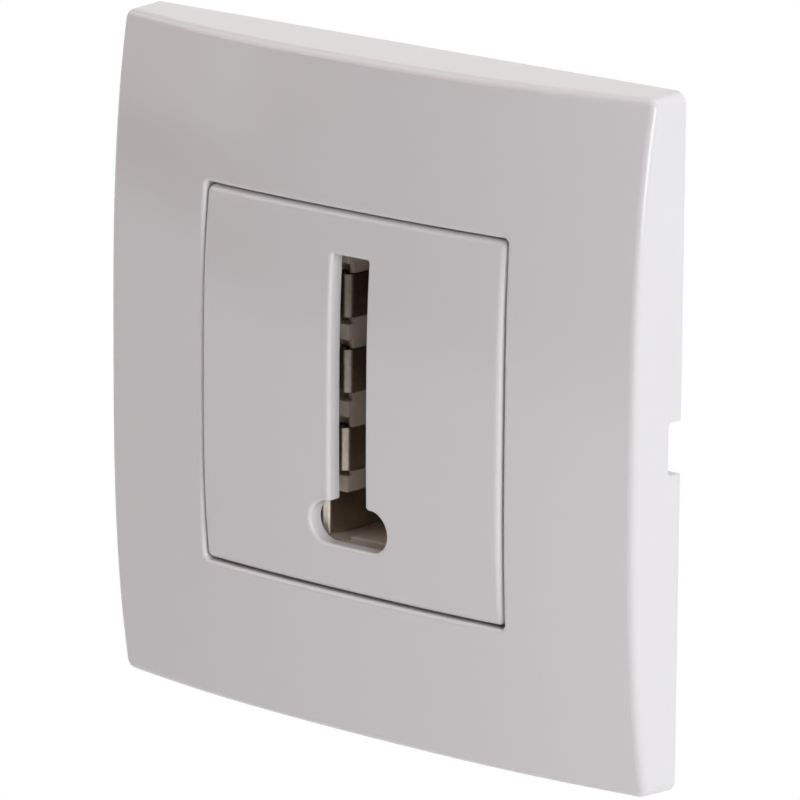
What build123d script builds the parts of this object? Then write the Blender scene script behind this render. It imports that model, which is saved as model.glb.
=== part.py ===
from build123d import *
import os

# Telephone wall socket of the flat T pattern, with eight contacts, for a round flush wall box.
# Millimetres. X runs to the right, Y into the wall and Z up. The room is towards -Y.
# The origin is the centre of the plane where the plate's rim and the support frame meet the wall.

# How far a cut starts or ends beyond the faces it goes through, and what counts as the same place
OVERCUT = 1.0
SAME_PLACE = 0.01

# Plate and its doubly crowned front. The front falls away from the middle by these drops.
PLATE = 80.0
PLATE_CORNER = 1.5
PLATE_DRAFT = 3.2
PLATE_SKIN = 2.1
PLATE_WALL = 2.0
PLATE_EDGE_ROUND = 1.0
CROWN_HEIGHT = 11.04
CROWN_SIDE_DROP, CROWN_SIDE_POWER = 3.51, 2.34
CROWN_TOP_DROP, CROWN_TOP_POWER = 2.78, 2.95
CROWN_REACH = PLATE / 2 + 1.5
CROWN_SECTIONS = 7
OPENING_WIDTH, OPENING_HEIGHT = 45.5, 44.84
OPENING_CORNER = 0.7
OPENING_ROUND = 0.45
COLLAR_WALL = 1.2
COLLAR_BACK = -4.6
RIB_SPACING, RIB_THICKNESS, RIB_BACK = 28.0, 1.0, -3.8
NOTCH_HEIGHT, NOTCH_DEPTH, NOTCH_CORNER = 6.1, 2.0, 0.5

# Centre cover that fills the opening, with the T slot for the plug. The slot and the mechanism
# behind it stand a little right of the plate's middle.
COVER_WIDTH, COVER_HEIGHT = 44.9, 44.24
COVER_CORNER = 0.9
COVER_PROUD = 0.2
COVER_SKIN = 1.9
COVER_FIT = 0.1
COVER_EDGE_ROUND = 0.8
SLOT_X = 0.5
SLOT_WIDTH, SLOT_TOP = 5.5, 17.15
LOBE_LENGTH, LOBE_HEIGHT, LOBE_Z = 11.5, 4.95, -14.2
SLOT_CORNER, SLOT_NECK = 0.35, 0.48
SLOT_ROUND = 0.42

# Two snaps on each side of the cover, in windows of the housing's wall
SNAP_Z, SNAP_LENGTH, SNAP_WIDTH, SNAP_DEPTH, SNAP_Y = 10.0, 6.0, 1.0, 0.5, -5.0
SNAP_PLAY = 0.2

# Contact housing
HOUSING = 42.2
HOUSING_CORNER = 4.0
HOUSING_WALL = 1.5
HOUSING_FRONT = -7.6
HOUSING_REAR = 16.5
FLANGE_FRONT, FLANGE_BACK = -3.0, -1.5
FLOOR_FRONT, FLOOR_BACK = 8.0, 9.5
CORE_WIDTH, CORE_TOP, CORE_BOTTOM = 20.4, 19.0, -18.8
CHANNEL_WIDTH, CHANNEL_FLOOR = 5.9, 6.2
KEY_CAVITY_WIDTH, KEY_CAVITY_TOP, KEY_CAVITY_BOTTOM = 12.4, -11.23, -16.9
KEY_PAD_WIDTH, KEY_PAD_HEIGHT = 4.6, 0.3
POCKET_OUTER = 8.9
POCKET_CLEARANCE = 0.12
RIB_LIP = 0.6
LIP_SETBACK, MOUTH_DEPTH = 0.9, 1.8
MOUTHS = ((8.37, 15.49), (-0.63, 6.58), (-9.4, -2.41))

# Contacts, four to a side. The third pair stands a little further out than the upper two, and the
# fourth pair stands beside the plug's key.
CONTACT_Z = (11.64, 2.85, -6.35, -14.3)
CONTACT_SHIFT = (0.0, 0.0, 0.33, 3.2)
CONTACT_HEIGHT = 4.96
STRIP = 0.4
NOSE_END_X, NOSE_END_Y = 4.45, -6.1
NOSE_X, NOSE_Y = 3.91, -7.59
FLARE_X, FLARE_Y = 3.1, -6.85
APEX_X, APEX_Y = 2.6, -1.5
ROOT_X, ROOT_Y = 3.9, 6.0
NOSE_BEND, FLARE_BEND, BLADE_BEND = 0.25, 0.45, 2.0
LEG_START, LEG_END, LEG_HEIGHT, LEG_TRIM = 5.4, 9.3, 3.4, 4.0
LEG_SLIT_WIDTH, LEG_SLIT_HEIGHT = 0.9, 3.8

# Terminals and their screws
TERMINAL_X, TERMINAL_WIDTH, TERMINAL_HEIGHT, TERMINAL_BEVEL = 14.5, 6.0, 5.8, 0.5
TERMINAL_FRONT, TERMINAL_REAR = FLOOR_BACK, 16.0
FOOT_THICKNESS, FOOT_HEIGHT, FOOT_CLEARANCE = 0.8, 4.0, 0.1
JAW_WIDTH, JAW_GAP, JAW_FRONT, JAW_HEIGHT = 0.8, 0.32, 8.1, 3.4
JAW_WINDOW_WIDTH, JAW_WINDOW_HEIGHT = 2.8, 4.2
WIRE_HOLE_RADIUS, WIRE_Y = 1.3, 12.6
WIRE_SLOT_WIDTH = 3.6
SCREW_RADIUS, SCREW_CLEARANCE, SCREW_TIP = 1.45, 0.05, 12.0
SCREW_HEAD_RADIUS, SCREW_HEAD_HEIGHT = 2.4, 1.6
SCREW_TIP_BEVEL, SCREW_HEAD_BEVEL = 0.4, 0.35
DRIVE_WIDTH, DRIVE_DEPTH = 0.7, 0.8
PARTITION, PARTITION_REAR = 1.2, 15.0

# Two ramps that snap behind the support frame
RAMP_WIDTH, RAMP_HEIGHT, RAMP_LENGTH = 9.0, 0.9, 3.2

# Rear cap over the contact roots
CAP_WIDTH, CAP_HEIGHT, CAP_REAR, CAP_WALL = 21.8, 37.6, 14.2, 1.2
CAP_CORNER, CAP_BEVEL = 1.5, 0.6

# Pressed support frame with slots at 60 mm centres for the wall box's screws
FRAME = 71.0
FRAME_CORNER = 3.0
FRAME_THICKNESS = 1.5
FRAME_OPENING = 42.8
FRAME_LIP, FRAME_LIP_DEPTH = 1.2, 3.2
BOX_CENTRES = 60.0
BOX_SLOT_LENGTH, BOX_SLOT_WIDTH = 6.8, 3.6
LUG_X, LUG_Z = 25.5, 14.0
LUG_WIDTH, LUG_THICKNESS = 6.0, 1.2
LUG_HOOK, LUG_TIP = 0.6, 2.2
LUG_CLEARANCE, LUG_SIDE_CLEARANCE = 0.1, 0.2

os.makedirs("parts", exist_ok=True)


def at_depth(y):
    """The upright plane at this depth. Sketches on it are seen from the room."""
    return Plane.XZ.offset(-y)


def crown(x, z):
    """How far the plate's front stands off the wall at this point of the plate."""
    side = CROWN_SIDE_DROP * abs(x / (PLATE / 2)) ** CROWN_SIDE_POWER
    top = CROWN_TOP_DROP * abs(z / (PLATE / 2)) ** CROWN_TOP_POWER
    return CROWN_HEIGHT - side - top


def crowned_block(lift):
    """All the space behind the crowned front, with the front moved by lift towards the room."""
    places = [CROWN_REACH * (2 * i / (CROWN_SECTIONS - 1) - 1) for i in range(CROWN_SECTIONS)]
    with BuildPart() as block:
        for x in places:
            with BuildSketch(Plane.YZ.offset(x)):
                with BuildLine():
                    front = Spline([(-crown(x, z) - lift, z) for z in places])
                    Polyline(front @ 1, (PLATE, CROWN_REACH), (PLATE, -CROWN_REACH), front @ 0)
                make_face()
        loft()
    return block.part


def on_slot_side(vertex):
    """Whether this corner of the slot's sketch is on one of the narrow part's sides."""
    return abs(abs(vertex.X - SLOT_X) - SLOT_WIDTH / 2) < SAME_PLACE


def save(builder, name):
    """Label a finished piece and write it out."""
    builder.part.label = name
    export_step(builder.part, f"parts/{name}.step")


# Cover plate: one moulding, hollow behind, with ribs, a collar round the opening and four snap lugs
plate_front = crowned_block(0)
plate_hollow_front = crowned_block(-PLATE_SKIN)

with BuildPart() as plate_hollow:
    with BuildSketch(at_depth(0)):
        Rectangle(PLATE - 2 * PLATE_WALL, PLATE - 2 * PLATE_WALL)
    extrude(amount=CROWN_HEIGHT + OVERCUT, taper=PLATE_DRAFT)
    add(plate_hollow_front, mode=Mode.INTERSECT)

with BuildPart() as plate_collar:
    with BuildSketch(at_depth(COLLAR_BACK)):
        Rectangle(OPENING_WIDTH + 2 * COLLAR_WALL, OPENING_HEIGHT + 2 * COLLAR_WALL)
    extrude(amount=CROWN_HEIGHT)
    with BuildSketch(at_depth(RIB_BACK)):
        for place in (-RIB_SPACING / 2, RIB_SPACING / 2):
            with Locations((0, place)):
                Rectangle(PLATE - 2 * PLATE_WALL, RIB_THICKNESS)
            with Locations((place, 0)):
                Rectangle(RIB_THICKNESS, PLATE - 2 * PLATE_WALL)
    extrude(amount=CROWN_HEIGHT)
    add(plate_hollow_front, mode=Mode.INTERSECT)

with BuildPart() as plate_lugs:
    with BuildSketch(Plane.XY.offset(LUG_Z - LUG_WIDTH / 2)):
        with BuildLine():
            Polyline(
                (LUG_X, -CROWN_HEIGHT),
                (LUG_X, LUG_TIP),
                (LUG_X - LUG_THICKNESS / 2, LUG_TIP),
                (LUG_X - LUG_THICKNESS - LUG_HOOK, 0),
                (LUG_X - LUG_THICKNESS, 0),
                (LUG_X - LUG_THICKNESS, -CROWN_HEIGHT),
                close=True,
            )
        make_face()
    extrude(amount=LUG_WIDTH)
    mirror(about=Plane.XY)
    mirror(about=Plane.YZ)
    add(plate_hollow_front, mode=Mode.INTERSECT)

with BuildPart() as cover_plate:
    with BuildSketch(at_depth(0)):
        RectangleRounded(PLATE, PLATE, PLATE_CORNER)
    extrude(amount=CROWN_HEIGHT + OVERCUT, taper=PLATE_DRAFT)
    add(plate_front, mode=Mode.INTERSECT)
    fillet(cover_plate.faces().sort_by(Axis.Y)[0].edges(), PLATE_EDGE_ROUND)
    add(plate_hollow.part, mode=Mode.SUBTRACT)
    add(plate_collar.part)
    add(plate_lugs.part)
    with BuildSketch(at_depth(OVERCUT)):
        RectangleRounded(OPENING_WIDTH, OPENING_HEIGHT, OPENING_CORNER)
    extrude(amount=CROWN_HEIGHT + 2 * OVERCUT, mode=Mode.SUBTRACT)
    front_face = cover_plate.faces().sort_by(Axis.Y)[0]
    fillet(front_face.inner_wires()[0].edges(), OPENING_ROUND)
    with BuildSketch(Plane.YZ.offset(PLATE / 2 - PLATE_WALL - OVERCUT)) as notch:
        with BuildLine():
            Polyline(
                (OVERCUT, NOTCH_HEIGHT / 2),
                (-NOTCH_DEPTH, NOTCH_HEIGHT / 2),
                (-NOTCH_DEPTH, -NOTCH_HEIGHT / 2),
                (OVERCUT, -NOTCH_HEIGHT / 2),
                close=True,
            )
        make_face()
        fillet(notch.vertices().group_by(Axis.X)[0], NOTCH_CORNER)
    extrude(amount=PLATE_WALL + 2 * OVERCUT, mode=Mode.SUBTRACT)
save(cover_plate, "cover_plate")

# Centre cover: a shallow moulded cap with the T slot, snapped over the housing
cover_front = crowned_block(COVER_PROUD)
cover_hollow_front = crowned_block(COVER_PROUD - COVER_SKIN)

with BuildPart() as cover_hollow:
    with BuildSketch(at_depth(FLANGE_FRONT)):
        Rectangle(HOUSING + 2 * COVER_FIT, HOUSING + 2 * COVER_FIT)
    extrude(amount=CROWN_HEIGHT)
    add(cover_hollow_front, mode=Mode.INTERSECT)

with BuildPart() as centre_cover:
    with BuildSketch(at_depth(FLANGE_FRONT)):
        RectangleRounded(COVER_WIDTH, COVER_HEIGHT, COVER_CORNER)
    extrude(amount=CROWN_HEIGHT)
    add(cover_front, mode=Mode.INTERSECT)
    fillet(centre_cover.faces().sort_by(Axis.Y)[0].edges(), COVER_EDGE_ROUND)
    add(cover_hollow.part, mode=Mode.SUBTRACT)
    with BuildSketch(at_depth(0)) as slot:
        with Locations((SLOT_X, (SLOT_TOP + LOBE_Z) / 2)):
            Rectangle(SLOT_WIDTH, SLOT_TOP - LOBE_Z)
        with Locations((SLOT_X, LOBE_Z)):
            SlotOverall(LOBE_LENGTH, LOBE_HEIGHT)
        fillet(slot.vertices().filter_by(on_slot_side).group_by(Axis.Y)[-1], SLOT_CORNER)
        fillet(slot.vertices().filter_by(on_slot_side).group_by(Axis.Y)[0], SLOT_NECK)
    extrude(amount=CROWN_HEIGHT + 2 * OVERCUT, mode=Mode.SUBTRACT)
    fillet(centre_cover.faces().sort_by(Axis.Y)[0].inner_wires()[0].edges(), SLOT_ROUND)
    for side in (-1, 1):
        wall = side * (HOUSING / 2 + COVER_FIT)
        for z in (-SNAP_Z, SNAP_Z):
            with BuildSketch(Plane.XY.offset(z - SNAP_LENGTH / 2)):
                with BuildLine():
                    Polyline(
                        (wall, SNAP_Y - SNAP_WIDTH / 2),
                        (wall - side * SNAP_DEPTH, SNAP_Y - SNAP_WIDTH / 4),
                        (wall, SNAP_Y + SNAP_WIDTH / 2),
                        (wall + side * SNAP_DEPTH, SNAP_Y),
                        close=True,
                    )
                make_face()
            extrude(amount=SNAP_LENGTH)
save(centre_cover, "centre_cover")

# Contact housing: a moulded box with the contact core in the middle and terminal bays at the rear
with BuildPart() as contact_housing:
    with BuildSketch(at_depth(HOUSING_REAR)):
        RectangleRounded(HOUSING, HOUSING, HOUSING_CORNER)
        RectangleRounded(
            HOUSING - 2 * HOUSING_WALL,
            HOUSING - 2 * HOUSING_WALL,
            HOUSING_CORNER - HOUSING_WALL,
            mode=Mode.SUBTRACT,
        )
    extrude(amount=HOUSING_REAR - HOUSING_FRONT)
    with BuildSketch(at_depth(FLANGE_BACK)):
        RectangleRounded(COVER_WIDTH, COVER_HEIGHT, COVER_CORNER)
        Rectangle(HOUSING - HOUSING_WALL, HOUSING - HOUSING_WALL, mode=Mode.SUBTRACT)
    extrude(amount=FLANGE_BACK - FLANGE_FRONT)
    with BuildSketch(at_depth(FLOOR_BACK)):
        RectangleRounded(HOUSING - HOUSING_WALL, HOUSING - HOUSING_WALL, HOUSING_CORNER)
    extrude(amount=FLOOR_BACK - FLOOR_FRONT)
    with BuildSketch(at_depth(FLOOR_FRONT)):
        with Locations((SLOT_X, (CORE_TOP + CORE_BOTTOM) / 2)):
            Rectangle(CORE_WIDTH, CORE_TOP - CORE_BOTTOM)
    extrude(amount=FLOOR_FRONT - HOUSING_FRONT)
    # the plug's channel and the key's cavity
    with BuildSketch(at_depth(CHANNEL_FLOOR)):
        with Locations((SLOT_X, (SLOT_TOP + LOBE_Z) / 2)):
            Rectangle(CHANNEL_WIDTH, SLOT_TOP - LOBE_Z)
        with Locations((SLOT_X, (KEY_CAVITY_TOP + KEY_CAVITY_BOTTOM) / 2)):
            Rectangle(KEY_CAVITY_WIDTH, KEY_CAVITY_TOP - KEY_CAVITY_BOTTOM)
    extrude(amount=CHANNEL_FLOOR - HOUSING_FRONT, mode=Mode.SUBTRACT)
    # the ribs stand between the contacts' mouths, with a lip along the channel that is set back
    lip_outer = CHANNEL_WIDTH / 2 + RIB_LIP
    for depth, inner in ((LIP_SETBACK, 0), (MOUTH_DEPTH, lip_outer)):
        reach = (inner + POCKET_OUTER) / 2
        with BuildSketch(at_depth(HOUSING_FRONT + depth)):
            for low, high in MOUTHS:
                middle = (low + high) / 2
                with Locations((SLOT_X - reach, middle), (SLOT_X + reach, middle)):
                    Rectangle(POCKET_OUTER - inner, high - low)
        extrude(amount=depth, mode=Mode.SUBTRACT)
    with BuildSketch(at_depth(CHANNEL_FLOOR)):
        for z in CONTACT_Z:
            with Locations((SLOT_X, z)):
                Rectangle(2 * POCKET_OUTER, CONTACT_HEIGHT + 2 * POCKET_CLEARANCE)
    extrude(amount=CHANNEL_FLOOR - HOUSING_FRONT, mode=Mode.SUBTRACT)
    # the raised pad in the key's cavity
    with BuildSketch(at_depth(CHANNEL_FLOOR)):
        with Locations((SLOT_X, KEY_CAVITY_BOTTOM + KEY_PAD_HEIGHT / 2)):
            Rectangle(KEY_PAD_WIDTH, KEY_PAD_HEIGHT)
    extrude(amount=CHANNEL_FLOOR - HOUSING_FRONT)
    # slits and windows where each contact's leg reaches the jaw of its terminal
    for z, shift in zip(CONTACT_Z, CONTACT_SHIFT):
        root = ROOT_X + shift
        with BuildSketch(at_depth(FLOOR_BACK)):
            with Locations((SLOT_X - root, z), (SLOT_X + root, z)):
                Rectangle(LEG_SLIT_WIDTH, LEG_SLIT_HEIGHT)
        extrude(amount=FLOOR_BACK - CHANNEL_FLOOR, mode=Mode.SUBTRACT)
        with BuildSketch(at_depth(FLOOR_BACK)):
            with Locations((SLOT_X - root, z), (SLOT_X + root, z)):
                Rectangle(JAW_WINDOW_WIDTH, JAW_WINDOW_HEIGHT)
        extrude(amount=FLOOR_BACK - FLOOR_FRONT, mode=Mode.SUBTRACT)
    # ramps at the top and the bottom that snap behind the support frame
    with BuildSketch(Plane.YZ.offset(-RAMP_WIDTH / 2)):
        with BuildLine():
            Polyline(
                (0, HOUSING / 2 - HOUSING_WALL / 2),
                (0, HOUSING / 2 + RAMP_HEIGHT),
                (RAMP_LENGTH / 4, HOUSING / 2 + RAMP_HEIGHT),
                (RAMP_LENGTH, HOUSING / 2),
                (RAMP_LENGTH, HOUSING / 2 - HOUSING_WALL / 2),
                close=True,
            )
        make_face()
        mirror(about=Plane.XZ)
    extrude(amount=RAMP_WIDTH)
    # partitions between the terminals, wire slots in the side walls and windows for the cover's snaps
    for side in (-1, 1):
        bay_inner = SLOT_X + side * (TERMINAL_X - TERMINAL_WIDTH / 2)
        bay_outer = side * (HOUSING - HOUSING_WALL) / 2
        with BuildSketch(at_depth(PARTITION_REAR)):
            for upper, lower in zip(CONTACT_Z, CONTACT_Z[1:]):
                with Locations(((bay_inner + bay_outer) / 2, (upper + lower) / 2)):
                    Rectangle(abs(bay_outer - bay_inner), PARTITION)
        extrude(amount=PARTITION_REAR - FLOOR_BACK)
        with BuildSketch(Plane.YZ.offset(side * (HOUSING / 2 + OVERCUT))):
            for z in CONTACT_Z:
                with Locations((WIRE_Y, z)):
                    Circle(WIRE_SLOT_WIDTH / 2)
                with Locations(((WIRE_Y + HOUSING_REAR + OVERCUT) / 2, z)):
                    Rectangle(HOUSING_REAR + OVERCUT - WIRE_Y, WIRE_SLOT_WIDTH)
            with Locations((SNAP_Y, -SNAP_Z), (SNAP_Y, SNAP_Z)):
                Rectangle(SNAP_WIDTH + 2 * SNAP_PLAY, SNAP_LENGTH + 2 * SNAP_PLAY)
        extrude(amount=-side * (HOUSING_WALL + 2 * OVERCUT), mode=Mode.SUBTRACT)
save(contact_housing, "contact_housing")


def blade_path(shift):
    """The centre line of a right-hand contact, from the folded end of its nose to the end of its leg."""
    return [
        (SLOT_X + NOSE_END_X + shift, NOSE_END_Y),
        (SLOT_X + NOSE_X + shift, NOSE_Y),
        (SLOT_X + FLARE_X + shift, FLARE_Y),
        (SLOT_X + APEX_X + shift, APEX_Y),
        (SLOT_X + ROOT_X + shift, ROOT_Y),
        (SLOT_X + ROOT_X + shift, LEG_END),
    ]


# Contacts 1 to 4 are on the right from the top down, and 5 to 8 on the left, mirrored in the slot's middle
slot_middle = Plane.YZ.offset(SLOT_X)
for side, first in ((1, 1), (-1, 5)):
    for i, (z, shift) in enumerate(zip(CONTACT_Z, CONTACT_SHIFT)):
        with BuildPart() as contact:
            with BuildSketch(Plane.XY.offset(z - CONTACT_HEIGHT / 2)):
                with BuildLine() as path:
                    FilletPolyline(blade_path(shift), radius=[NOSE_BEND, FLARE_BEND, BLADE_BEND, BLADE_BEND])
                trace(path.line, line_width=STRIP)
            extrude(amount=CONTACT_HEIGHT)
            for edge_z in (z + CONTACT_HEIGHT / 2, z - CONTACT_HEIGHT / 2):
                with BuildSketch(at_depth(LEG_END + OVERCUT)):
                    with Locations((SLOT_X + ROOT_X + shift, edge_z)):
                        Rectangle(LEG_TRIM, CONTACT_HEIGHT - LEG_HEIGHT)
                extrude(amount=LEG_END + OVERCUT - LEG_START, mode=Mode.SUBTRACT)
            if side < 0:
                mirror(about=slot_middle, mode=Mode.REPLACE)
        save(contact, f"contact_{first + i}")

# Terminals: brass blocks with a foot that ends in the jaw round the contact's leg
for side, first in ((1, 1), (-1, 5)):
    for i, (z, shift) in enumerate(zip(CONTACT_Z, CONTACT_SHIFT)):
        root = SLOT_X + ROOT_X + shift
        block_x = SLOT_X + TERMINAL_X
        with BuildPart() as terminal:
            with BuildSketch(at_depth(TERMINAL_REAR)):
                with Locations((block_x, z)):
                    Rectangle(TERMINAL_WIDTH, TERMINAL_HEIGHT)
            extrude(amount=TERMINAL_REAR - TERMINAL_FRONT)
            chamfer(terminal.edges().filter_by(Axis.Y), TERMINAL_BEVEL)
            foot_inner = root - JAW_GAP - JAW_WIDTH
            with BuildSketch(at_depth(TERMINAL_FRONT + FOOT_THICKNESS)):
                with Locations(((foot_inner + block_x) / 2, z)):
                    Rectangle(block_x - foot_inner, FOOT_HEIGHT)
            extrude(amount=FOOT_THICKNESS)
            with BuildSketch(at_depth(TERMINAL_FRONT)):
                reach = JAW_GAP + JAW_WIDTH / 2
                with Locations((root - reach, z), (root + reach, z)):
                    Rectangle(JAW_WIDTH, JAW_HEIGHT)
            extrude(amount=TERMINAL_FRONT - JAW_FRONT)
            with BuildSketch(at_depth(TERMINAL_REAR)):
                with Locations((block_x, z)):
                    Circle(SCREW_RADIUS + SCREW_CLEARANCE)
            extrude(amount=TERMINAL_REAR - TERMINAL_FRONT - FOOT_THICKNESS, mode=Mode.SUBTRACT)
            with BuildSketch(Plane.YZ.offset(block_x - SCREW_RADIUS)):
                with Locations((WIRE_Y, z)):
                    Circle(WIRE_HOLE_RADIUS)
            extrude(amount=TERMINAL_WIDTH, mode=Mode.SUBTRACT)
            if side < 0:
                mirror(about=slot_middle, mode=Mode.REPLACE)
        save(terminal, f"terminal_{first + i}")

        with BuildPart() as screw:
            with BuildSketch(at_depth(TERMINAL_REAR)):
                with Locations((SLOT_X + side * TERMINAL_X, z)):
                    Circle(SCREW_RADIUS)
            extrude(amount=TERMINAL_REAR - SCREW_TIP)
            chamfer(screw.edges().sort_by(Axis.Y)[0], SCREW_TIP_BEVEL)
            with BuildSketch(at_depth(TERMINAL_REAR + SCREW_HEAD_HEIGHT)):
                with Locations((SLOT_X + side * TERMINAL_X, z)):
                    Circle(SCREW_HEAD_RADIUS)
            extrude(amount=SCREW_HEAD_HEIGHT)
            chamfer(screw.edges().sort_by(Axis.Y)[-1], SCREW_HEAD_BEVEL)
            with BuildSketch(at_depth(TERMINAL_REAR + SCREW_HEAD_HEIGHT)):
                with Locations((SLOT_X + side * TERMINAL_X, z)):
                    Rectangle(2 * SCREW_HEAD_RADIUS, DRIVE_WIDTH)
                    Rectangle(DRIVE_WIDTH, SCREW_HEAD_RADIUS)
            extrude(amount=DRIVE_DEPTH, mode=Mode.SUBTRACT)
        save(screw, f"terminal_screw_{first + i}")

# Rear cap: a shallow tray over the contact roots, notched for the feet of the terminals
with BuildPart() as rear_cap:
    with BuildSketch(at_depth(FLOOR_BACK)):
        with Locations((SLOT_X, 0)):
            RectangleRounded(CAP_WIDTH, CAP_HEIGHT, CAP_CORNER)
    extrude(amount=FLOOR_BACK - CAP_REAR)
    chamfer(rear_cap.faces().sort_by(Axis.Y)[-1].edges(), CAP_BEVEL)
    with BuildSketch(at_depth(FLOOR_BACK)):
        with Locations((SLOT_X, 0)):
            Rectangle(CAP_WIDTH - 2 * CAP_WALL, CAP_HEIGHT - 2 * CAP_WALL)
    extrude(amount=FLOOR_BACK - CAP_REAR + CAP_WALL, mode=Mode.SUBTRACT)
    with BuildSketch(at_depth(FLOOR_BACK)):
        for z in CONTACT_Z:
            with Locations((SLOT_X, z)):
                Rectangle(CAP_WIDTH + OVERCUT, FOOT_HEIGHT + 2 * FOOT_CLEARANCE)
    extrude(amount=-FOOT_THICKNESS, mode=Mode.SUBTRACT)
save(rear_cap, "rear_cap")

# Support frame: pressed steel, with a turned lip, box-screw slots and windows for the plate's lugs
with BuildPart() as support_frame:
    with BuildSketch(at_depth(0)):
        RectangleRounded(FRAME, FRAME, FRAME_CORNER)
    extrude(amount=FRAME_LIP_DEPTH)
    with BuildSketch(at_depth(-FRAME_THICKNESS)):
        RectangleRounded(FRAME - 2 * FRAME_LIP, FRAME - 2 * FRAME_LIP, FRAME_CORNER - FRAME_LIP)
    extrude(amount=FRAME_LIP_DEPTH, mode=Mode.SUBTRACT)
    with BuildSketch(at_depth(0)):
        RectangleRounded(FRAME_OPENING, FRAME_OPENING, HOUSING_CORNER)
        with Locations((-BOX_CENTRES / 2, 0), (BOX_CENTRES / 2, 0)):
            SlotOverall(BOX_SLOT_LENGTH, BOX_SLOT_WIDTH)
        with Locations((0, -BOX_CENTRES / 2), (0, BOX_CENTRES / 2)):
            SlotOverall(BOX_SLOT_LENGTH, BOX_SLOT_WIDTH, rotation=90)
        window_width = LUG_THICKNESS + LUG_CLEARANCE + LUG_HOOK
        window_x = LUG_X + LUG_HOOK - window_width / 2
        for x in (-window_x, window_x):
            with Locations((x, -LUG_Z), (x, LUG_Z)):
                Rectangle(window_width, LUG_WIDTH + 2 * LUG_SIDE_CLEARANCE)
    extrude(amount=FRAME_THICKNESS, mode=Mode.SUBTRACT)
save(support_frame, "support_frame")
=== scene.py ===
import math

import bmesh
import bpy
from mathutils import Matrix, Vector


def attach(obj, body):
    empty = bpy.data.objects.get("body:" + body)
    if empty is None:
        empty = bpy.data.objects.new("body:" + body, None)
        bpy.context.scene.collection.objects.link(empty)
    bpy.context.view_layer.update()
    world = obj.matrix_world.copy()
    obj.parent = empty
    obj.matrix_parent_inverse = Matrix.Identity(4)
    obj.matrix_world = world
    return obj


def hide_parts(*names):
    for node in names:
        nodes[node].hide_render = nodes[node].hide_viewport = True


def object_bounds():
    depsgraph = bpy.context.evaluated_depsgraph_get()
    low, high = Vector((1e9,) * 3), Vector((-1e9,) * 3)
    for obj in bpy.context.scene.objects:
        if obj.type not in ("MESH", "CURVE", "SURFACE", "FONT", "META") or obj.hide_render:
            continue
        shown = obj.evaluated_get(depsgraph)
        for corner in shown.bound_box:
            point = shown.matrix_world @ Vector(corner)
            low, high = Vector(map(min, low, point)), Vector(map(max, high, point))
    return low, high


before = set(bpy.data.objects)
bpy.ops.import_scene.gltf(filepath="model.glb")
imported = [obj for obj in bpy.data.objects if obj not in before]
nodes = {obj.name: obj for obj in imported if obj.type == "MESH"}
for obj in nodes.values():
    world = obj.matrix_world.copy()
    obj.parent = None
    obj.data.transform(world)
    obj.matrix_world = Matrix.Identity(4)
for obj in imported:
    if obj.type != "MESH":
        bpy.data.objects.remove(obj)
cad_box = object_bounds()
MM = 0.001


# The photographer's stand
# A long lens looks down a little on the socket from the right of its front. The aim is the point that
# falls in the middle of the picture, a little left of and below the socket's origin.
AZIMUTH, ELEVATION, ROLL = math.radians(41.122), math.radians(13.801), math.radians(0.411)
DISTANCE = 0.8086
LENS, SENSOR = 318.5, 36.0
NEAREST, FARTHEST = 0.05, 50
AIM_RIGHT, AIM_UP = -0.94 * MM, -1.31 * MM


def put_in_scene(name, content):
    """Put a mesh, a lamp or a camera in the scene under a name."""
    placed = bpy.data.objects.new(name, content)
    bpy.context.scene.collection.objects.link(placed)
    return placed


def direction(azimuth, elevation):
    """The way from the socket to a point. Azimuth runs from the front to the right, both in radians."""
    level_part = math.cos(elevation)
    return Vector((math.sin(azimuth) * level_part, -math.cos(azimuth) * level_part, math.sin(elevation)))


back = direction(AZIMUTH, ELEVATION)
level = Vector((math.cos(AZIMUTH), math.sin(AZIMUTH), 0))
upright = back.cross(level)
right = level * math.cos(ROLL) + upright * math.sin(ROLL)
up = upright * math.cos(ROLL) - level * math.sin(ROLL)

stand = bpy.data.cameras.new("stand")
stand.lens, stand.sensor_width = LENS, SENSOR
stand.clip_start, stand.clip_end = NEAREST, FARTHEST
camera = put_in_scene("camera", stand)
turn = Matrix((right, up, back)).transposed().to_4x4()
camera.matrix_world = Matrix.Translation(back * DISTANCE + right * AIM_RIGHT + up * AIM_UP) @ turn
bpy.context.scene.camera = camera
bpy.context.scene.view_settings.view_transform = "Standard"


# White table in daylight
# The socket is photographed above a white table in a white room. The camera, the gloss and the metal see
# plain white there. The table itself returns a matt light to the socket's lower half.
class Socket:
    """A socket of a node tree. Arithmetic on it adds Math nodes."""

    def __init__(self, tree, output=None):
        self.tree, self.output = tree, output

    def node(self, kind, settings=None, inputs=None, out=0):
        """Add a node: its settings first, then the values or links of its inputs."""
        added = self.tree.nodes.new("ShaderNode" + kind)
        for name, value in (settings or {}).items():
            setattr(added, name, value)
        for name, value in (inputs or {}).items():
            if isinstance(value, Socket):
                self.tree.links.new(value.output, added.inputs[name])
            else:
                added.inputs[name].default_value = value
        return Socket(self.tree, added.outputs[out] if len(added.outputs) else None)

    def math(self, operation, *values):
        return self.node("Math", {"operation": operation}, dict(enumerate(values)))

    def __add__(self, other):
        return self.math("ADD", self, other)

    def __sub__(self, other):
        return self.math("SUBTRACT", self, other)

    def __rsub__(self, other):
        return self.math("SUBTRACT", other, self)

    def __mul__(self, other):
        return self.math("MULTIPLY", self, other)

    __radd__, __rmul__ = __add__, __mul__


def srgb(red, green, blue):
    """A colour as a colour card gives it, in 0 to 255, as the shader's linear light."""
    return tuple(
        (c / 255 / 12.92) if c <= 10 else ((c / 255 + 0.055) / 1.055) ** 2.4
        for c in (red, green, blue)
    )


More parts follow.
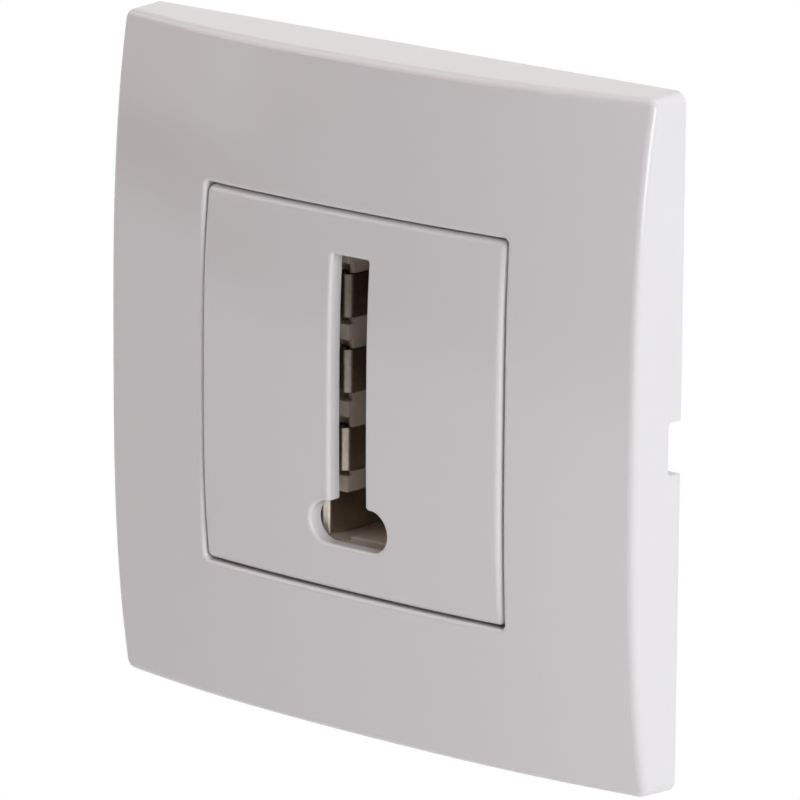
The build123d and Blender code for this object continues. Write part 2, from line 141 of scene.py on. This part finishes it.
def material(name):
    """An empty material and the socket that adds nodes to it."""
    finish = bpy.data.materials.new(name)
    finish.use_nodes = True
    finish.node_tree.nodes.clear()
    return finish, Socket(finish.node_tree)


def white_where_seen(tree, lit, white):
    """One shader for the light on the socket, and a white one for what the camera, gloss and glass see."""
    kinds = ("Camera", "Glossy", "Transmission")
    seen_by_camera, seen_in_gloss, seen_through = [
        tree.node("LightPath", out=f"Is {kind} Ray") for kind in kinds
    ]
    seen = seen_by_camera + seen_in_gloss + seen_through
    return tree.node("MixShader", inputs={0: seen, 1: lit, 2: white})


WORLD_LIGHT = 0.3
WORLD_TINT = (0.9, 0.97, 1.0)
PLAIN_WHITE = (1, 1, 1, 1)
TABLE_WHITE = srgb(244, 244, 246)
TABLE_BELOW, TABLE_SIZE = 0.075, 6.0

room = bpy.data.worlds.new("daylight_room")
room.use_nodes = True
room.node_tree.nodes.clear()
sky = Socket(room.node_tree)
soft = sky.node("Background", inputs={"Color": (*WORLD_TINT, 1), "Strength": WORLD_LIGHT})
white = sky.node("Background", inputs={"Color": PLAIN_WHITE, "Strength": 1.0})
sky.node("OutputWorld", inputs={"Surface": white_where_seen(sky, soft, white)})
bpy.context.scene.world = room

table_height = cad_box[0][2] - TABLE_BELOW
bpy.ops.mesh.primitive_grid_add(size=TABLE_SIZE, location=(0, 0, table_height))
table = bpy.context.object
table.name = "white_table"
table_paint, paint = material("white_table")
matt = paint.node("BsdfDiffuse", inputs={"Color": (*TABLE_WHITE, 1)})
white = paint.node("Emission", inputs={"Color": PLAIN_WHITE, "Strength": 1.0})
paint.node("OutputMaterial", inputs={"Surface": white_where_seen(paint, matt, white)})
table.data.materials.append(table_paint)


# Studio lamps
# A tall soft panel stands to the right of the socket's front. A warm one on the left fills the front, and
# one overhead and one high behind light the plate's edges. All look straight at the socket.
PANEL_DISTANCE = 1.15


def panel(name, azimuth, elevation, watts, colour, width=1.0, height=1.0):
    """A soft rectangular lamp that looks at the socket. Azimuth runs from the front to the right."""
    lamp = bpy.data.lights.new(name, "AREA")
    lamp.shape, lamp.size, lamp.size_y = "RECTANGLE", width, height
    lamp.energy, lamp.color = watts, colour
    away = direction(math.radians(azimuth), math.radians(elevation))
    facing = away.to_track_quat("Z", "Y").to_matrix().to_4x4()
    put_in_scene(name, lamp).matrix_world = Matrix.Translation(away * PANEL_DISTANCE) @ facing


panel("right_panel", azimuth=70, elevation=5, watts=10.9, colour=(0.97, 0.985, 1.0), width=0.6)
panel("left_panel", azimuth=-60, elevation=45, watts=4.4, colour=(1.0, 0.9, 0.87))
panel("overhead_panel", azimuth=60, elevation=80, watts=3.1, colour=(1.0, 0.92, 0.92))
panel("rear_panel", azimuth=150, elevation=50, watts=2.4, colour=(0.97, 0.99, 1.0))


# Dim room beyond the table
# The white table ends in front of the socket. Beyond its edge lie the floor, the far wall and the ceiling
# of a dim brown room. The camera doesn't see them. They show only in the gloss.
TABLE_EDGE = ((2.2, -0.30), (0.15, -0.42), (-0.16, -0.50), (-0.45, -0.46), (-1.73, -0.45))
ROOM_FRONT, ROOM_BACK, ROOM_TOP = -1.6, 0.4, 2.5
ROOM_BROWN = srgb(124, 112, 105)
EDGE_ABOVE_TABLE = 1 * MM

room_left, room_right = TABLE_EDGE[-1][0], TABLE_EDGE[0][0]
dim_room = bpy.data.meshes.new("dim_room")
shell = bmesh.new()
table_edge = [shell.verts.new((x, y, table_height + EDGE_ABOVE_TABLE)) for x, y in TABLE_EDGE]
wall_foot = [shell.verts.new((x, ROOM_FRONT, table_height)) for x in (room_left, room_right)]
wall_head = [shell.verts.new((x, ROOM_FRONT, ROOM_TOP)) for x in (room_right, room_left)]
ceiling_end = [shell.verts.new((x, ROOM_BACK, ROOM_TOP)) for x in (room_left, room_right)]
for outline in (table_edge + wall_foot, wall_foot + wall_head, wall_head + ceiling_end):
    shell.faces.new(outline)
shell.to_mesh(dim_room)
shell.free()
dim_shell = put_in_scene("dim_room", dim_room)
dim_shell.visible_camera = False
dim_paint, paint = material("dim_room")
brown = paint.node("BsdfDiffuse", inputs={"Color": (*ROOM_BROWN, 1)})
paint.node("OutputMaterial", inputs={"Surface": brown})
dim_room.materials.append(dim_paint)


# Cover plate
# The plate is one moulding in glossy white plastic, snapped onto the support frame. The mould's polish
# leaves a faint waviness in its gloss, and handling leaves the gloss very slightly uneven.
def dress(node, finish):
    """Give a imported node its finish."""
    piece = nodes[node]
    piece.data.materials.clear()
    piece.data.materials.append(finish)


PLASTIC_WHITE = srgb(233, 231, 233)
PLASTIC_SHADE = srgb(229, 226, 226)
PLASTIC_IOR = 1.49
GLOSS_LOW, GLOSS_SPREAD = 0.13, 0.03
SHADES_PER_METRE, SMEARS_PER_METRE, WAVES_PER_METRE = 28.0, 160.0, 420.0
WAVE_STRENGTH, WAVE_HEIGHT = 0.06, 0.05 * MM

gloss_white, gloss = material("gloss_white")
place = gloss.node("TexCoord", out="Object")
shades = gloss.node("TexNoise", inputs={"Vector": place, "Scale": SHADES_PER_METRE, "Detail": 3.0})
smears = gloss.node("TexNoise", inputs={"Vector": place, "Scale": SMEARS_PER_METRE, "Detail": 4.0})
waves = gloss.node("TexNoise", inputs={"Vector": place, "Scale": WAVES_PER_METRE, "Detail": 1.0})
tone = gloss.node(
    "Mix", {"data_type": "RGBA"}, {0: shades, 6: (*PLASTIC_WHITE, 1), 7: (*PLASTIC_SHADE, 1)}, out=2
)
relief = gloss.node("Bump", inputs={"Height": waves, "Strength": WAVE_STRENGTH, "Distance": WAVE_HEIGHT})
body = gloss.node("BsdfPrincipled", inputs={
    "Base Color": tone,
    "Roughness": smears * GLOSS_SPREAD + GLOSS_LOW,
    "IOR": PLASTIC_IOR,
    "Normal": relief,
})
gloss.node("OutputMaterial", inputs={"Surface": body})
dress("cover_plate", gloss_white)


# Centre cover
# The cover with the T slot is moulded in the plate's plastic and snapped onto the housing. Its upper and
# lower edges bend back to just below the plate's, so the opening's own rounded edge shows under the cover.
# Its left side stands closer to the opening than the CAD's.
SINK_ENDS, SINK_HALF, SINK_POWER = 0.5 * MM, 22.0 * MM, 3
LEFT_SIDE, LEFT_GROWTH = -20.0 * MM, 0.18 * MM
SKIN_BACK, SKIN_BLEND = -7.7 * MM, 1.5 * MM

moulding = put_in_scene("centre_cover_moulding", nodes["centre_cover"].data.copy())
for point in moulding.data.vertices:
    sink = SINK_ENDS * abs(point.co.z / SINK_HALF) ** SINK_POWER
    skin = min(max((SKIN_BACK - point.co.y) / SKIN_BLEND, 0), 1)
    point.co.y += sink * skin
    if point.co.x < LEFT_SIDE:
        point.co.x -= LEFT_GROWTH * skin
moulding.data.materials.clear()
moulding.data.materials.append(gloss_white)
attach(moulding, "socket")
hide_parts("centre_cover")


# Contact housing and rear cap
# The mechanism's body and the tray over its contact roots are moulded in a matt, warm light grey plastic.
# The mould was spark-eroded, which leaves a fine grain. The two are snapped together.
HOUSING_GREY = srgb(229, 216, 203)
HOUSING_DARK = srgb(216, 202, 188)
HOUSING_IOR = 1.5
MATT_LOW, MATT_SPREAD = 0.5, 0.1
CLOUDS_PER_METRE, PITS_PER_METRE = 90.0, 5200.0
PIT_STRENGTH, PIT_DEPTH = 0.2, 0.03 * MM

housing_plastic, matt = material("housing_plastic")
place = matt.node("TexCoord", out="Object")
clouds = matt.node("TexNoise", inputs={"Vector": place, "Scale": CLOUDS_PER_METRE, "Detail": 4.0})
pits = matt.node("TexNoise", inputs={"Vector": place, "Scale": PITS_PER_METRE, "Detail": 2.0})
tone = matt.node(
    "Mix", {"data_type": "RGBA"}, {0: clouds, 6: (*HOUSING_GREY, 1), 7: (*HOUSING_DARK, 1)}, out=2
)
relief = matt.node("Bump", inputs={"Height": pits, "Strength": PIT_STRENGTH, "Distance": PIT_DEPTH})
body = matt.node("BsdfPrincipled", inputs={
    "Base Color": tone,
    "Roughness": clouds * MATT_SPREAD + MATT_LOW,
    "IOR": HOUSING_IOR,
    "Normal": relief,
})
matt.node("OutputMaterial", inputs={"Surface": body})
for node in ("contact_housing", "rear_cap"):
    dress(node, housing_plastic)


# Pad in the key's cavity
# A low pad is moulded with the housing on the cavity's floor, just behind the cover, where the plug's wide
# key comes to rest. Its rounded front edge catches the light, and its top lies in shade.
PAD_LEFT, PAD_RIGHT = -1.95 * MM, 3.6 * MM
PAD_FRONT, PAD_REAR = -7.61 * MM, -4.4 * MM
PAD_FOOT, PAD_TOP = -16.8 * MM, -16.33 * MM
PAD_ROUND, PAD_ROUND_STEPS = 0.07 * MM, 3

pad_mesh = bpy.data.meshes.new("key_pad")
block = bmesh.new()
outline = ((PAD_LEFT, PAD_FRONT), (PAD_RIGHT, PAD_FRONT), (PAD_RIGHT, PAD_REAR), (PAD_LEFT, PAD_REAR))
foot, top = [[block.verts.new((x, y, z)) for x, y in outline] for z in (PAD_FOOT, PAD_TOP)]
block.faces.new(reversed(foot))
block.faces.new(top)
for corner in range(4):
    after = (corner + 1) % 4
    block.faces.new((foot[corner], foot[after], top[after], top[corner]))
sharp = [edge for edge in block.edges if any(point in top for point in edge.verts)]
bmesh.ops.bevel(
    block, geom=sharp, offset=PAD_ROUND, segments=PAD_ROUND_STEPS, profile=0.5, affect="EDGES"
)
block.to_mesh(pad_mesh)
block.free()
pad_mesh.materials.append(housing_plastic)
key_pad = put_in_scene("key_pad", pad_mesh)
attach(key_pad, "socket")


# Contacts
# Each contact is stamped from rolled nickel-silver strip and bent. Rolling leaves fine lines along the
# strip. The metal has dulled in random patches. On top of that, its colour is painted darker the higher
# the contact sits. This is a painted shade, because the narrow upper slot lets less light reach the upper
# contacts than the wide lobe lets reach the lowest.
PATCHES_PER_METRE = 1900.0
PATCH_CONTRAST, PATCH_THRESHOLD = 1.6, 0.3
PATCH_SHARE, PAINTED_SHADE_SHARE = 0.25, 0.85
DULL_ROUGHNESS = 0.2
LINE_STRETCH = 30
LINE_STRENGTH, LINE_HEIGHT = 0.25, 0.02 * MM


def strip_metal(name, bright, dull_and_shaded, rough, along, lines_per_metre, painted_shade_heights=None):
    """A rolled metal with lines along one axis and random duller patches; painted shade darkens it up a
    span of heights.
    """
    finish, metal = material(name)
    place = metal.node("TexCoord", out="Object")
    stretch = [lines_per_metre] * 3
    stretch["XYZ".index(along)] = lines_per_metre / LINE_STRETCH
    drawn = metal.node("Mapping", inputs={"Vector": place, "Scale": stretch})
    lines = metal.node("TexNoise", inputs={"Vector": drawn, "Scale": 1.0, "Detail": 3.0})
    patches = metal.node("TexNoise", inputs={"Vector": place, "Scale": PATCHES_PER_METRE, "Detail": 5.0})
    dullness_and_shade = patches * PATCH_CONTRAST - PATCH_THRESHOLD
    # Painted shade: the colour darkens steadily with height over the given span, in place of the light
    # that reaches the upper contacts less.
    if painted_shade_heights:
        low, high = painted_shade_heights
        height = metal.node("SeparateXYZ", inputs={"Vector": place}, out=2)
        dullness_and_shade = dullness_and_shade * PATCH_SHARE + (height - low) * (PAINTED_SHADE_SHARE / (high - low))
    dullness_and_shade = metal.node("Clamp", inputs={"Value": dullness_and_shade})
    tone = metal.node("Mix", {"data_type": "RGBA"}, {0: dullness_and_shade, 6: (*bright, 1), 7: (*dull_and_shaded, 1)}, out=2)
    relief = metal.node(
        "Bump", inputs={"Height": lines, "Strength": LINE_STRENGTH, "Distance": LINE_HEIGHT}
    )
    body = metal.node("BsdfPrincipled", inputs={
        "Base Color": tone,
        "Metallic": 1.0,
        "Roughness": dullness_and_shade * DULL_ROUGHNESS + rough,
        "Normal": relief,
    })
    metal.node("OutputMaterial", inputs={"Surface": body})
    return finish


CONTACT_NUMBERS = range(1, 9)
# Painted shade on the contacts, darkening them from 14 mm below the middle to 12 mm above it.
nickel_silver = strip_metal(
    "nickel_silver", bright=srgb(222, 212, 199), dull_and_shaded=srgb(138, 125, 113), rough=0.28,
    along="Z", lines_per_metre=9000.0, painted_shade_heights=(-14 * MM, 12 * MM),
)
for number in CONTACT_NUMBERS:
    dress(f"contact_{number}", nickel_silver)


# Terminals, their screws and the support frame
# Each contact's leg ends in the jaw of a machined brass terminal, which holds its wire under a zinc-plated
# steel screw. A pressed and zinc-plated steel frame carries the housing and takes the two box screws.
terminal_brass = strip_metal(
    "terminal_brass", bright=srgb(226, 200, 140), dull_and_shaded=srgb(196, 164, 104), rough=0.28,
    along="Y", lines_per_metre=4000.0,
)
screw_steel = strip_metal(
    "screw_steel", bright=srgb(214, 214, 212), dull_and_shaded=srgb(186, 187, 190), rough=0.25,
    along="Y", lines_per_metre=5000.0,
)
zinc_steel = strip_metal(
    "zinc_steel", bright=srgb(206, 209, 214), dull_and_shaded=srgb(184, 188, 196), rough=0.3,
    along="X", lines_per_metre=3000.0,
)
for number in CONTACT_NUMBERS:
    dress(f"terminal_{number}", terminal_brass)
    dress(f"terminal_screw_{number}", screw_steel)
dress("support_frame", zinc_steel)
